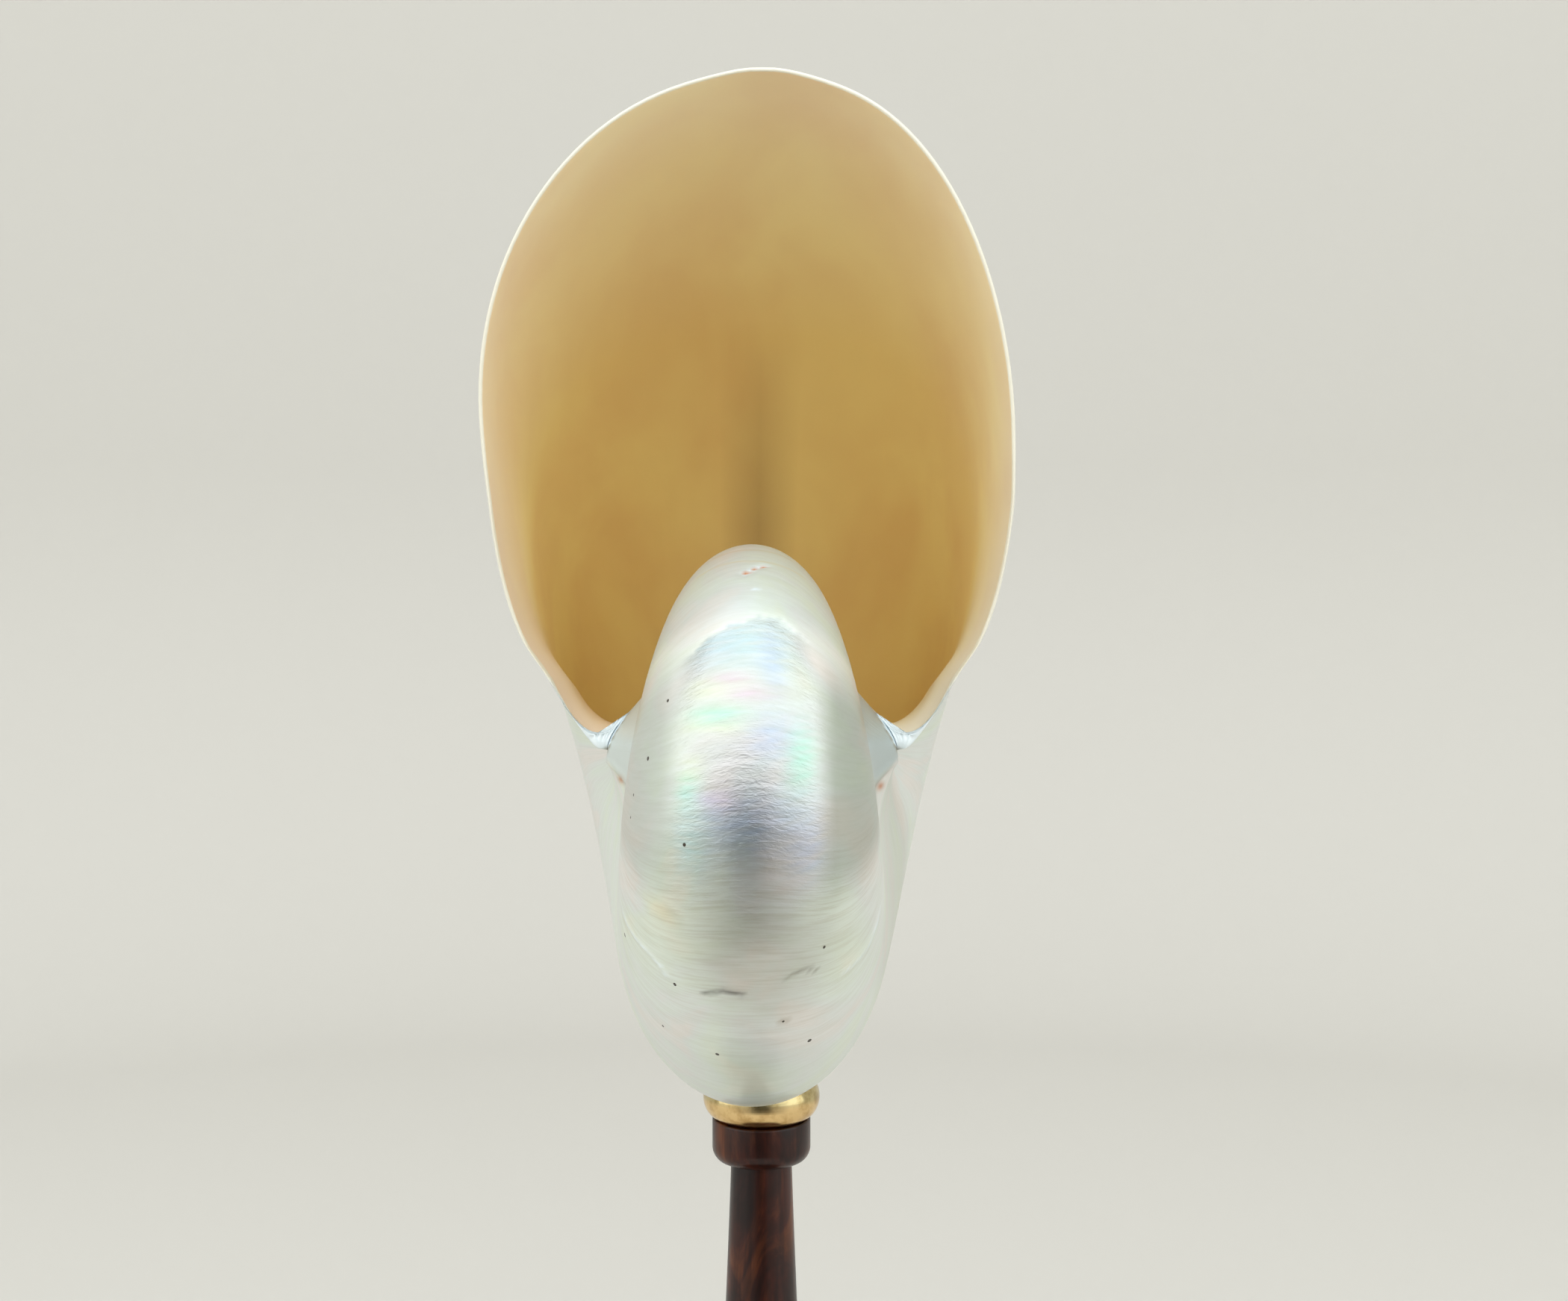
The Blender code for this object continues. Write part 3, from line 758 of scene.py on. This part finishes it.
class ShellSheets:
    """The shell's sheets gathered into one mesh, with what its finishes need on each point."""

    def __init__(self):
        self.points, self.quads, self.slots = [], [], []
        self.marks = {"growth": [], "play": [], "marks": [], "callus": [], "polish": []}
        self.count = 0

    def add(self, sheet, slot, rim_line):
        grid, turn, step = sheet
        rows, columns = grid.shape[:2]
        index = self.count + np.arange(rows * columns).reshape(rows, columns)
        corners = (index[:-1, :-1], index[:-1, 1:], index[1:, 1:], index[1:, :-1])
        self.quads.append(np.stack(corners, -1).reshape(-1, 4))
        self.slots.append(np.full(len(self.quads[-1]), slot))
        self.points.append(grid.reshape(-1, 3))
        self.count += rows * columns
        rim = distance_to(grid, rim_line)
        corner = corner_at(grid)
        x = grid[..., 0] - SHELL_ASIDE
        across = across_of(grid, turn)
        line = growth_line(turn, across)
        plain = np.ones((rows, columns, 3))
        self.marks["growth"].append(np.stack([line, across, rim / MM], -1))
        self.marks["play"].append(play_and_painted_sheen(turn, x) if slot == PEARL_SLOT else plain)
        # the marks carry painted shade and reflection along with the stains and callus tints
        tints = plain if slot == CHAMBER_SLOT else marks_and_painted_light_color(grid, turn, x, rim, corner)
        self.marks["marks"].append(tints)
        self.marks["callus"].append(white_parts(grid, turn, x, rim, corner, slot))
        self.marks["polish"].append(polish_at(turn, x) * (slot == PEARL_SLOT))

    def mesh(self, name):
        mesh = bpy.data.meshes.new(name)
        mesh.from_pydata(np.concatenate(self.points), [], np.concatenate(self.quads))
        for mark, sheets in self.marks.items():
            values = np.concatenate([sheet.reshape(-1) for sheet in sheets])
            if mark in ("callus", "polish"):
                mesh.attributes.new(mark, "FLOAT", "POINT").data.foreach_set("value", values)
            else:
                mesh.attributes.new(mark, "FLOAT_VECTOR", "POINT").data.foreach_set("vector", values)
        mesh.polygons.foreach_set("material_index", np.concatenate(self.slots))
        bm = bmesh.new()
        bm.from_mesh(mesh)
        bmesh.ops.remove_doubles(bm, verts=bm.verts, dist=0.0005 * MM)
        bmesh.ops.recalc_face_normals(bm, faces=bm.faces)
        bm.to_mesh(mesh)
        bm.free()
        mesh.shade_smooth()
        return mesh


def worked_outside():
    """The outside sheet with its relief cut in."""
    grid, turn, step = outside_sheet()
    rho = np.hypot(grid[..., 1] - COIL_Y, grid[..., 2] - COIL_Z)
    sideways = grid[..., 0] - aside(turn, rho)
    fade = np.minimum(ease(rho / (12 * MM)), ease(-turn / 0.05)) * ease((turn + FULL_TURN) / 0.05)
    across = across_of(grid, turn)
    raised = relief(turn, across, sideways, growth_line(turn, across)) * fade
    ridge = RECESS_RIDGE * np.exp(-(above_recess_line(grid) / (0.6 * MM)) ** 2) * near_recess(grid)
    raised = raised + ridge * ease((turn + FULL_TURN) / 0.05)
    return grid + normals_of(grid) * raised[..., None], turn, step


def shell_mesh():
    plain, floor, roof = outside_sheet()[0], floor_sheet(), roof_sheet()
    inner_edge = np.concatenate([plain[-1][:SEAM_STEPS], roof[0][0], plain[-1][-SEAM_STEPS:]])
    rim_line = roof[0][0]
    outside = worked_outside()
    sheets = ShellSheets()
    sheets.add(outside, PEARL_SLOT, rim_line)
    sheets.add(floor, CHAMBER_SLOT, rim_line)
    sheets.add(roof, CHAMBER_SLOT, rim_line)
    sheets.add(septum_sheet(floor[0][-1], roof[0][-1]), CHAMBER_SLOT, rim_line)
    sheets.add(lip_sheet(outside[0][0], inner_edge, rim_line), LIP_SLOT, rim_line)
    return sheets.mesh("nautilus")


def attribute(material, name, output="Vector"):
    return add_node(material, "Attribute", {}, attribute_name=name).outputs[output]


def math_node(material, way, first, second=0.0):
    node = add_node(material, "Math", {}, operation=way)
    for socket, value in zip(node.inputs, (first, second)):
        if isinstance(value, bpy.types.NodeSocket):
            material.node_tree.links.new(value, socket)
        else:
            socket.default_value = value
    return node.outputs[0]


def in_range(material, value, first, last):
    """0 to 1 as a value goes from first to last."""
    return add_node(material, "MapRange", {
        "Value": value, "From Min": first, "From Max": last}).outputs["Result"]


def specks(material, spots, size):
    """A mask of small spots at chosen places of the shell."""
    here = add_node(material, "TexCoord", {}).outputs["Object"]
    total = 0.0
    for number, spot in enumerate(spots):
        node = add_node(material, "VectorMath", {}, operation="DISTANCE")
        material.node_tree.links.new(here, node.inputs[0])
        node.inputs[1].default_value = spot
        reach = size * (0.7 + 0.6 * (number * 0.37 % 1))
        total = math_node(material, "MAXIMUM",
                          math_node(material, "LESS_THAN", node.outputs["Value"], reach), total)
    return total


def on_coil(turn, side):
    """The point of the front of the coil at so many degrees and millimetres."""
    theta = -math.radians(turn)
    widths, rhos = venter_point(theta, np.linspace(0, VENTER_STEPS, 400))
    half = abs(side * MM)
    return place(theta, math.copysign(1, side), half, np.interp(half, widths[::-1], rhos[::-1]))


def silver_streaks(material, growth, polish):
    """Silver streaked along the growth lines, duller where the outer layer was left."""
    streak = noise(material, growth, (46, 5, 0), 5.0, 0.65)
    bright = color_ramp(material, streak, [(0.3, PEARL_SHADE), (0.62, PEARL)])
    matte = blend_colors(material, "MULTIPLY", 0.6, linear(MATTE_PEARL), bright)
    return blend_colors(material, "MIX", polish, matte, bright)


def brown_lines(material, growth):
    """A mask of the brown growth lines, strongest low on the coil."""
    lines = noise(material, growth, (120, 5, 0), 4.0, 0.65, 0.3)
    turn = add_node(material, "SeparateXYZ", {"Vector": growth}).outputs["X"]
    low = color_ramp(material, in_range(material, turn, -4.75, -3.6), [
        (0.0, (90, 90, 90)), (0.1, (60, 60, 60)), (0.3, (220, 220, 220)),
        (0.7, (180, 180, 180)), (1.0, (80, 80, 80))])
    brown = color_ramp(material, lines, [(0.46, (0, 0, 0)), (0.62, (170, 170, 170))])
    return math_node(material, "MULTIPLY", math_node(material, "MULTIPLY", low, brown), 0.8)


def with_play(material, growth, base):
    """The base colour with broad faint hues and the pastel patches multiplied in."""
    patch = noise(material, growth, (2.6, 2.2, 0), 3.0, 0.55, 0.6)
    hues = color_ramp(material, patch, [
        (0.36, (255, 238, 246)), (0.46, (242, 243, 255)), (0.54, (240, 250, 252)),
        (0.63, (240, 252, 240)), (0.72, (255, 252, 236))])
    base = blend_colors(material, "MULTIPLY", 0.45, base, hues)
    # the play attribute holds the play of colour fixed as painted sheen
    return blend_colors(material, "MULTIPLY", 1.0, base, attribute(material, "play"))


def by_polish(material, polish, matte, change):
    """A value that changes from the matte pearl's as the polish goes from 0 to 1."""
    return math_node(material, "ADD", math_node(material, "MULTIPLY", polish, change), matte)


def wrinkles(material, growth, polish):
    """Wrinkles along the growth lines, deeper where the pearl was ground."""
    wrinkle = noise(material, growth, (78, 26, 0), 3.0, 0.6, 0.6)
    fine = noise(material, growth, (210, 60, 0), 2.0, 0.5)
    height = math_node(material, "ADD", wrinkle, math_node(material, "MULTIPLY", fine, 0.25))
    depth = by_polish(material, polish, MATTE_WRINKLE, POLISH_WRINKLE)
    return add_node(material, "Bump", {
        "Strength": depth, "Distance": 0.22 * MM, "Height": height}).outputs["Normal"]


def pearl():
    """Polished pearl: part mirror, wrinkled along its growth lines, with a play of colour."""
    material, shader = new_material("pearl")
    growth = attribute(material, "growth")
    polish = attribute(material, "polish", "Fac")
    callus = attribute(material, "callus", "Fac")
    base = silver_streaks(material, growth, polish)
    base = blend_colors(material, "MIX", brown_lines(material, growth), base, linear(LINE_BROWN))
    base = with_play(material, growth, base)
    base = blend_colors(material, "MIX", callus, base, linear(CALLUS_WHITE))
    # the marks multiply in painted shade and reflection as well as stains and callus tints
    base = blend_colors(material, "MULTIPLY", 1.0, base, attribute(material, "marks"))
    pits = specks(material, [on_coil(*pit) for pit in PITS], PIT_SIZE)
    base = blend_colors(material, "MIX", pits, base, linear(PIT_DARK))
    fill_sockets(material, shader, {
        "Base Color": base, "Metallic": by_polish(material, polish, MATTE_METAL, POLISH_METAL),
        "Roughness": by_polish(material, polish, MATTE_ROUGH, POLISH_ROUGH),
        "Coat Weight": 0.25, "Coat Roughness": 0.12, "Normal": wrinkles(material, growth, polish)})
    return material


def rim_painted_sheen(material, parts, base):
    """The base colour with a painted sheen beside the rim: pinkish on the left, greyish on the right."""
    sides = color_ramp(material, in_range(material, parts["Y"], -1.2, 1.2), [
        (0.0, RIM_PAINTED_SHEEN_PINK), (1.0, RIM_PAINTED_SHEEN_GREY)])
    beside = in_range(material, math_node(material, "ABSOLUTE", parts["Y"]), 0.5, 1.1)
    near_rim = in_range(material, parts["Z"], RIM_SHEEN_END, RIM_SHEEN_FULL)
    pale = math_node(material, "MULTIPLY", math_node(material, "MULTIPLY", near_rim, beside), 0.7)
    return blend_colors(material, "MIX", pale, base, sides)


def chamber_with_painted_glow():
    """The chamber's satin wall in a painted glow: pale cream near the lip, golden brown further in."""
    material, shader = new_material("chamber with painted glow")
    growth = attribute(material, "growth")
    parts = add_node(material, "SeparateXYZ", {"Vector": growth}).outputs
    inward = in_range(material, parts["X"], 0.0, -1.5)
    # painted glow: pale near the lip, golden deeper in
    base = color_ramp(material, inward, [
        (0.0, PAINTED_GLOW_RIM), (0.12, PAINTED_GLOW_NEAR), (0.45, PAINTED_GLOW_MID), (0.9, PAINTED_GLOW_DEEP)])
    cloud = color_ramp(material, noise(material, growth, (2.2, 3, 0), 3.0, 0.5, 0.4),
                       [(0.35, (244, 232, 224)), (0.65, (255, 255, 246))])
    base = blend_colors(material, "MULTIPLY", 0.8, base, cloud)
    # painted shade in a stripe down the middle of the chamber, deeper in
    stripe = in_range(material, math_node(material, "ABSOLUTE", parts["Y"]), 0.09, 0.0)
    deep = in_range(material, inward, 0.42, 0.75)
    shade = math_node(material, "MULTIPLY", math_node(material, "MULTIPLY", stripe, deep), 0.5)
    base = blend_colors(material, "MIX", shade, base, linear(CHAMBER_PAINTED_SHADE))
    base = rim_painted_sheen(material, parts, base)
    white = attribute(material, "callus", "Fac")
    base = blend_colors(material, "MIX", white, base, linear(CALLUS_WHITE))
    grain = noise(material, growth, (160, 90, 0), 3.0, 0.6)
    bump = add_node(material, "Bump", {"Strength": 0.08, "Distance": 0.2 * MM, "Height": grain})
    fill_sockets(material, shader, {
        "Base Color": base, "Roughness": 0.42, "Normal": bump.outputs["Normal"]})
    return material


def bare_lip():
    """The cut edge of the shell: cream, with a bluish-white gloss where the callus thickens."""
    material, shader = new_material("bare lip")
    spot = add_node(material, "TexCoord", {}).outputs["Object"]
    lumps = noise(material, spot, (700, 700, 700), 3.0, 0.6)
    base = blend_colors(material, "MIX", attribute(material, "callus", "Fac"), linear(LIP_CREAM),
                        linear(CALLUS_WHITE))
    # the marks bring the painted shade and shadow of the recesses onto the lip
    base = blend_colors(material, "MULTIPLY", 1.0, base, attribute(material, "marks"))
    bump = add_node(material, "Bump", {"Strength": 0.4, "Distance": 0.3 * MM, "Height": lumps})
    fill_sockets(material, shader, {
        "Base Color": base, "Roughness": 0.3, "Normal": bump.outputs["Normal"]})
    return material


nautilus = bpy.data.objects.new("nautilus_shell", shell_mesh())
bpy.context.scene.collection.objects.link(nautilus)
for finish in (pearl(), chamber_with_painted_glow(), bare_lip()):
    nautilus.data.materials.append(finish)
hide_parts("shell")
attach(nautilus, "root")


# The brass ring: a half-round band, turned and polished, with its top ground to the shell
# that is set down into it.
RING_RADIUS = 9.8 * MM
RING_BULGE = 2.9 * MM
RING_HALF_HEIGHT = 3.6 * MM
RING_BORE = 5.0 * MM
RING_TOP_DEGREES = 52
RING_STEPS = 28
RING_SEAT_STEPS = 16
BRASS_TARNISHED = (198, 174, 126)
BRASS_BRIGHT = (232, 212, 166)
# painted reflection warming the ring's lower half, and painted shade over its top half under the shell
BRASS_LOW_PAINTED_REFLECTION = (255, 236, 212)
BRASS_MIDDLE_PAINTED_REFLECTION = (255, 242, 224)
BRASS_TOP_PAINTED_SHADE = (224, 226, 214)


def polished_brass():
    """Yellow brass, buffed round the band, with faint tarnish in its hollows."""
    material, shader = new_material("polished brass")
    spot = add_node(material, "TexCoord", {}).outputs["Object"]
    height = add_node(material, "SeparateXYZ", {"Vector": spot}).outputs["Z"]
    # painted shade on the top half under the shell, painted reflection warming the lower half
    painted_shade_and_reflection = color_ramp(
        material, in_range(material, height, RING_CENTRE_Z - 3 * MM, RING_CENTRE_Z + 3.5 * MM),
        [(0.0, BRASS_LOW_PAINTED_REFLECTION), (0.38, BRASS_MIDDLE_PAINTED_REFLECTION), (0.5, BRASS_TOP_PAINTED_SHADE), (1.0, BRASS_TOP_PAINTED_SHADE)])
    buffing = noise(material, spot, (60, 60, 5200), 3.0, 0.6)
    tarnish = noise(material, spot, (420, 420, 420), 4.0, 0.65)
    base = color_ramp(material, tarnish, [(0.36, BRASS_TARNISHED), (0.58, BRASS_BRIGHT)])
    base = blend_colors(material, "MULTIPLY", 1.0, base, painted_shade_and_reflection)
    rough = add_node(material, "MapRange", {"Value": tarnish, "To Min": 0.22, "To Max": 0.1})
    bump = add_node(material, "Bump", {"Strength": 0.12, "Distance": 0.05 * MM, "Height": buffing})
    fill_sockets(material, shader, {
        "Base Color": base, "Metallic": 1.0, "Roughness": rough.outputs["Result"],
        "Normal": bump.outputs["Normal"]})
    return material


def ring_outline():
    lowest = -math.degrees(math.asin(RING_BELOW / RING_HALF_HEIGHT))
    crown = arc(RING_RADIUS - RING_BULGE, 0, RING_BULGE, RING_HALF_HEIGHT, lowest,
                RING_TOP_DEGREES, RING_STEPS)
    edge_r, edge_z = crown[-1]
    seat = [(mix(edge_r, RING_BORE, step / RING_SEAT_STEPS), edge_z)
            for step in range(1, RING_SEAT_STEPS + 1)]
    return crown + seat + [(RING_BORE, -RING_BELOW), crown[0]]


def seat_ring(ring, shell):
    """Leans the ring and lowers its top to the belly of the shell above it."""
    surface = BVHTree.FromPolygons([vertex.co for vertex in shell.data.vertices],
                                   [tuple(face.vertices) for face in shell.data.polygons])
    for vertex in ring.data.vertices:
        x, y, z = vertex.co
        up = RING_CENTRE_Z + z * math.cos(SEAT_LEAN) + y * math.sin(SEAT_LEAN)
        back = y * math.cos(SEAT_LEAN) - z * math.sin(SEAT_LEAN)
        below = Vector((x, back, STEM_TOP))
        hit = surface.ray_cast(below, Vector((0, 0, 1)))[0]
        if hit and z > 0:
            up = min(up, hit.z - GAP / 2)
        vertex.co = (x, back, up)


ring = turned("turned_brass_ring", ring_outline(), polished_brass())
seat_ring(ring, nautilus)
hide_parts("brass_ring")
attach(ring, "root")


# The studio: pale paper curved up and round behind the object, soft light from all the
# front, and a dark card before it that shows only in the polish.
COVE_RADIUS = 0.95
COVE_BEND = 0.3
COVE_HEIGHT = 1.7
COVE_STEPS = 64
FLOOR_REACH = 3.5
CARD_NEAR = 0.155
CARD_FAR = 0.42
CARD_BOTTOM = 2 * MM
CARD_TOP = 0.38
CARD_TURN = 62
CARD_STEPS = 48
CARD_ROWS = 20
COIL_FRONT = (0.06, 0.17)
ROOM_STRENGTH = 1.8
ROOM_COLOR = (0.98, 1.0, 1.0, 1.0)
PAPER = (199, 197, 191)
CARD_GREY = (92, 93, 90)
CAMERA_BACK = 336.5 * MM
CAMERA_RISE = 16.0 * MM
CAMERA_SIDE = 3.8 * MM
LENS = 48.0


def paper_cove():
    """A sheet of paper that covers the table and curves up and round behind the object."""
    bm = bmesh.new()
    outline = [(0.0, 0.0)]
    outline += arc(COVE_RADIUS - COVE_BEND, COVE_BEND, COVE_BEND, COVE_BEND, -90, 0, 16)
    outline.append((COVE_RADIUS, COVE_HEIGHT))
    rows = []
    for step in range(COVE_STEPS + 1):
        turn = math.pi * step / COVE_STEPS
        rows.append([bm.verts.new((r * math.cos(turn), r * math.sin(turn), z)) for r, z in outline])
    for first, second in zip(rows, rows[1:]):
        for index in range(len(outline) - 1):
            bm.faces.new((first[index], first[index + 1], second[index + 1], second[index]))
    corners = [(-FLOOR_REACH, -FLOOR_REACH, 0), (FLOOR_REACH, -FLOOR_REACH, 0),
               (FLOOR_REACH, 0, 0), (-FLOOR_REACH, 0, 0)]
    bm.faces.new([bm.verts.new(corner) for corner in corners])
    bmesh.ops.remove_doubles(bm, verts=bm.verts, dist=0.01 * MM)
    material, shader = new_material("paper")
    fill_sockets(material, shader, {"Base Color": linear(PAPER), "Roughness": 0.9})
    return link_mesh("paper_cove", bm, material)


def card_strength(reach, height, turn):
    """How solid the card is: it fades out all round, so that its reflection has no edge."""
    rise = math.degrees(math.atan2(height - COIL_FRONT[1], reach - COIL_FRONT[0]))
    upright = (1 - ease((rise + 8) / 38)) * (1 - ease((-rise - 40) / 20))
    middle = 1 - ease((abs(turn) - 8) / 24)
    return upright * (0.55 * middle + 0.45 * (1 - ease((abs(turn) - 34) / 28)))


def dark_card():
    """The card lies before the stand and stands up in an arc beyond it, as one bent sheet."""
    bm = bmesh.new()
    solid = bm.verts.layers.float.new("solid")
    outline = [(mix(CARD_NEAR, CARD_FAR, row / CARD_ROWS), CARD_BOTTOM) for row in range(CARD_ROWS)]
    outline += [(CARD_FAR, mix(CARD_BOTTOM, CARD_TOP, row / CARD_ROWS))
                for row in range(CARD_ROWS + 1)]
    turns = [mix(-CARD_TURN, CARD_TURN, step / CARD_STEPS) for step in range(CARD_STEPS + 1)]
    rows = []
    for reach, height in outline:
        rows.append([])
        for turn in turns:
            angle = math.radians(turn)
            vertex = bm.verts.new((reach * math.sin(angle), -reach * math.cos(angle), height))
            vertex[solid] = card_strength(reach, height, turn)
            rows[-1].append(vertex)
    for first, second in zip(rows, rows[1:]):
        for index in range(CARD_STEPS):
            bm.faces.new((first[index], first[index + 1], second[index + 1], second[index]))
    material, shader = new_material("dark card")
    fill_sockets(material, shader, {
        "Base Color": linear(CARD_GREY), "Roughness": 1.0, "Specular IOR Level": 0.0,
        "Alpha": attribute(material, "solid", "Fac")})
    card = link_mesh("dark_card", bm, material)
    card.visible_camera = False
    card.visible_diffuse = False
    card.visible_shadow = False
    return card


def room_light():
    world = bpy.data.worlds.new("room")
    bpy.context.scene.world = world
    world.use_nodes = True
    background = world.node_tree.nodes["Background"]
    background.inputs["Color"].default_value = ROOM_COLOR
    background.inputs["Strength"].default_value = ROOM_STRENGTH


paper_cove()
dark_card()
room_light()

lens = bpy.data.cameras.new("camera")
lens.lens = LENS
lens.clip_start = 0.01
camera = bpy.data.objects.new("camera", lens)
camera.location = (CAMERA_SIDE, COIL_Y - CAMERA_BACK, COIL_Z + CAMERA_RISE)
camera.rotation_euler = (math.pi / 2, 0, 0)
bpy.context.scene.collection.objects.link(camera)
bpy.context.scene.camera = camera
bpy.context.scene.view_settings.view_transform = "Standard"
